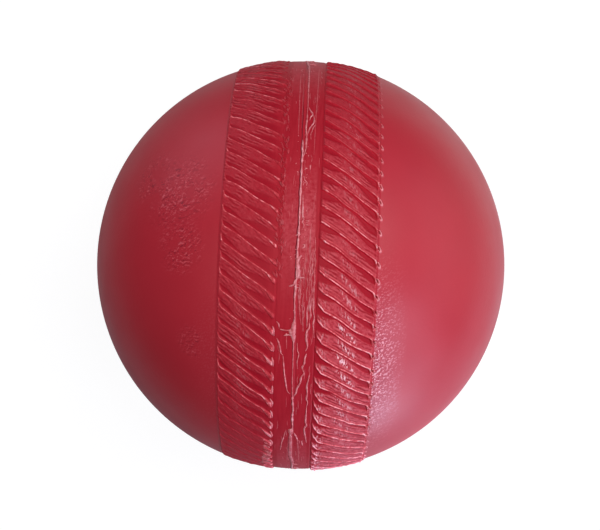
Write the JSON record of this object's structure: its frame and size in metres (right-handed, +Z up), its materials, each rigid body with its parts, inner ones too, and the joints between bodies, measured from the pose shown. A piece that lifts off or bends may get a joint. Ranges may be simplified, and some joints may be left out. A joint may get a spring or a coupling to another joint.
{
  "type": "plastic cricket ball",
  "caption": "Hollow moulded plastic cricket ball: two welded half-shells with slanted moulded seam ribs either side of a smooth channel and its weld line.",
  "frame": {"origin": "centre of the ball", "axes": "+X is the seam axis, square to the seam plane, +Z up with the seam ring upright in the YZ plane"},
  "size_m": [0.072, 0.0726, 0.0726],
  "materials": {
    "shell_plastic": "semi-gloss moulded red plastic with a fine orange-peel grain",
    "weld_plastic": "pale, stress-whitened red weld flash"
  },
  "bodies": {
    "root": {"left_half_shell": "shell_plastic", "right_half_shell": "shell_plastic", "weld_ring": "weld_plastic"}
  },
  "joints": []
}
